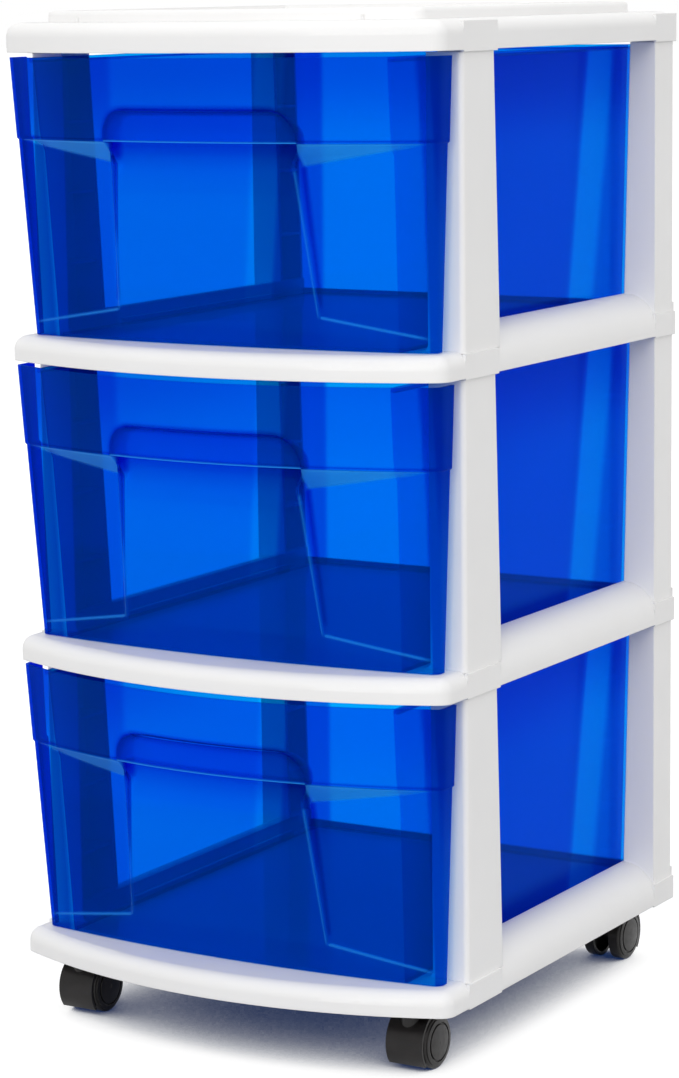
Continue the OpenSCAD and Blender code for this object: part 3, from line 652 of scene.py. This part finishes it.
def tinted_plastic():
    """Clear tinted moulding with a little milk in it. Each skin of a wall lets a share of light through."""
    mat, tree = material("tinted_plastic")
    # The tone sets the tint's depth and with it the painted shade and painted light
    tone = map_range(tree, attribute(tree, "tone"), 0.0, 1.0, -1.0, 1.0)
    tint = node(tree, "ShaderNodeValToRGB", Fac=tone)
    stops = tint.color_ramp.elements
    stops[0].color, stops[1].color = (*THIN, 1), (*DEEP, 1)
    stops.new(0.5).color = (*BASE, 1)
    clear = node(tree, "ShaderNodeBsdfTransparent", Color=tint.outputs["Color"])

    # The glint paints highlights: a paler, milkier body on edges and ledges
    glint = attribute(tree, "glint")
    blue = ramp(tree, noise(tree, 7, 2), MILK_COLOURS)
    body = node(tree, "ShaderNodeBsdfPrincipled", IOR=1.5, Roughness=0.4, Specular_Tint=MILK_SPECULAR,
                Base_Color=mixed_colour(tree, glint, blue, GLINT_COLOUR))
    shine = node(tree, "ShaderNodeBsdfGlossy", Color=SHINE_COLOUR,
                 Roughness=ramp(tree, noise(tree, 40, 3), SHINE_ROUGH),
                 Normal=bump(tree, noise(tree, 14, 1), 0.0009, 0.15).outputs["Normal"])

    facing = node(tree, "ShaderNodeLayerWeight", Blend=0.5).outputs["Facing"]
    slant = math_node(tree, "POWER", facing, 4.0)
    milk = math_node(tree, "MAXIMUM", map_range(tree, slant, MILK, MILK_SLANT), glint)
    whole = mixed(tree, milk, clear.outputs[0], body.outputs["BSDF"])
    finish_with(tree, mixed(tree, map_range(tree, slant, SHINE, SHINE_SLANT), whole, shine.outputs[0]))
    return mat


def caster_plastic():
    mat, tree = material("caster_plastic")
    bsdf = node(tree, "ShaderNodeBsdfPrincipled", IOR=1.5, Specular_IOR_Level=0.3,
                Base_Color=ramp(tree, noise(tree, 120, 3), BLACK_COLOURS),
                Roughness=ramp(tree, noise(tree, 260, 3), BLACK_ROUGH),
                Normal=grain(tree, 2200, 0.00004, 0.0006))
    finish_with(tree, bsdf.outputs["BSDF"])
    return mat


def steel():
    mat, tree = material("steel")
    bsdf = node(tree, "ShaderNodeBsdfPrincipled", Metallic=1.0,
                Base_Color=ramp(tree, noise(tree, 300, 3), STEEL_COLOURS),
                Roughness=ramp(tree, noise(tree, 700, 2), STEEL_ROUGH))
    finish_with(tree, bsdf.outputs["BSDF"])
    return mat


def seen_directly(tree):
    """1 for rays from the camera, from a mirror or through glass, so that they meet a white background."""
    path = tree.nodes.new("ShaderNodeLightPath").outputs
    seen = math_node(tree, "MAXIMUM", path["Is Camera Ray"], path["Is Glossy Ray"])
    return math_node(tree, "MAXIMUM", seen, path["Is Transmission Ray"])


def floor_material():
    """Pale floor that seems lit from all sides. The less open sky a place has over it, the darker it is."""
    mat, tree = material("floor")
    sky = node(tree, "ShaderNodeAmbientOcclusion", samples=16, Distance=SHADE_REACH).outputs["AO"]
    shade = ramp(tree, sky, (FLOOR_SHADE, FLOOR_OPEN), SHADE_FROM, SHADE_TO)
    pale = ramp(tree, noise(tree, 3, 2), FLOOR_COLOURS)
    bsdf = node(tree, "ShaderNodeBsdfPrincipled", Roughness=0.7, Specular_IOR_Level=0.1,
                Base_Color=mixed_colour(tree, 1.0, shade, pale, "MULTIPLY"))
    glow = node(tree, "ShaderNodeEmission", Color=shade,
                Strength=math_node(tree, "MULTIPLY", seen_directly(tree), FLOOR_LIFT))
    both = tree.nodes.new("ShaderNodeAddShader")
    feed(tree, bsdf.outputs["BSDF"], both.inputs[0])
    feed(tree, glow.outputs[0], both.inputs[1])
    finish_with(tree, both.outputs[0])
    return mat


# ---------------------------------------------------------------- object

WHITE, TINTED, BLACK, STEEL = white_plastic(), tinted_plastic(), caster_plastic(), steel()
LOOKS = {"top_cover": WHITE, "frame": WHITE, "hood": BLACK, "wheel": BLACK, "stem": STEEL, "axle": STEEL}
FRAME_CREASE_ANGLE = 25


def dress_nodes():
    for name, obj in nodes.items():
        for start, mat in LOOKS.items():
            if name.startswith(start):
                obj.data.materials.clear()
                obj.data.materials.append(mat)
        shade_smooth(obj.data, FRAME_CREASE_ANGLE)


def add_drawers():
    mesh = drawer_mesh()
    mesh.materials.append(TINTED)
    for tier, index in TIERS.items():
        piece = new_object(f"drawer_shell_{tier}", mesh)
        piece.location = Vector((0, POST_Y, LIFT + index * PITCH + DRAWER_FOOT)) * MM
        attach(piece, f"drawer_{tier}")
        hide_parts(f"drawer_{tier}")


dress_nodes()
add_drawers()


# ---------------------------------------------------------------- studio

FLOOR_HALF = 30.0
WORLD_LIGHT, WORLD_WHITE = 0.8, 1.0
# Camera, fitted to measured corners of the tower: metres, degrees, and pixels of the photograph
CAMERA_PLACE = (1.0817, -1.84035, 0.6475)
CAMERA_YAW, CAMERA_PITCH, CAMERA_ROLL = 31.71, 8.82, -0.88
IMAGE_W, IMAGE_H = 679, 1078
FOCAL_PX, CENTRE_X, CENTRE_Y = 3374.6, 266.5, 510.65
SENSOR_H = 24
# Lamps: place, size in metres and power in watts
LAMPS = {"key": ((1.2, -3.2, 1.7), (2.2, 1.6), 36), "top": ((0.2, -0.1, 3.2), (2.5, 2.5), 16)}
LAMP_TARGET = (0, 0, 0.3)


def add_floor():
    mesh = bpy.data.meshes.new("floor")
    corners = [(x * FLOOR_HALF, y * FLOOR_HALF, 0) for x, y in ((-1, -1), (1, -1), (1, 1), (-1, 1))]
    mesh.from_pydata(corners, [], [(0, 1, 2, 3)])
    floor = new_object("floor", mesh)
    mesh.materials.append(floor_material())


def add_lamp(name, place, size, watts):
    data = bpy.data.lights.new(name, "AREA")
    data.shape = "RECTANGLE"
    data.size, data.size_y = size
    data.energy = watts
    lamp = bpy.data.objects.new(name, data)
    lamp.location = place
    lamp.rotation_euler = (Vector(LAMP_TARGET) - Vector(place)).to_track_quat("-Z", "Y").to_euler()
    bpy.context.scene.collection.objects.link(lamp)


def add_world():
    world = bpy.data.worlds.new("studio")
    bpy.context.scene.world = world
    world.use_nodes = True
    tree = world.node_tree
    tree.nodes.clear()
    soft = node(tree, "ShaderNodeBackground", Strength=WORLD_LIGHT, Color=(1, 1, 1))
    white = node(tree, "ShaderNodeBackground", Strength=WORLD_WHITE, Color=(1, 1, 1))
    both = mixed(tree, seen_directly(tree), soft.outputs[0], white.outputs[0])
    node(tree, "ShaderNodeOutputWorld", Surface=both)


def add_camera():
    """Camera at the photograph's place."""
    yaw, pitch, roll = (math.radians(a) for a in (CAMERA_YAW, CAMERA_PITCH, CAMERA_ROLL))
    ahead = Vector((-math.sin(yaw) * math.cos(pitch), math.cos(yaw) * math.cos(pitch), -math.sin(pitch)))
    right = Vector((math.cos(yaw), math.sin(yaw), 0))
    up = right.cross(ahead)
    side = right * math.cos(roll) + up * math.sin(roll)
    top = up * math.cos(roll) - right * math.sin(roll)
    data = bpy.data.cameras.new("camera")
    data.sensor_fit = "VERTICAL"
    data.sensor_height = SENSOR_H
    data.lens = FOCAL_PX / IMAGE_H * SENSOR_H
    data.shift_x = (IMAGE_W / 2 - CENTRE_X) / IMAGE_H
    data.shift_y = (CENTRE_Y - IMAGE_H / 2) / IMAGE_H
    camera = bpy.data.objects.new("camera", data)
    turn = Matrix((side, top, -ahead)).transposed().to_4x4()
    camera.matrix_world = Matrix.Translation(CAMERA_PLACE) @ turn
    bpy.context.scene.collection.objects.link(camera)
    bpy.context.scene.camera = camera


add_floor()
add_world()
add_camera()
for lamp_name, (place, size, watts) in LAMPS.items():
    add_lamp(lamp_name, place, size, watts)
bpy.context.scene.view_settings.view_transform = "Standard"
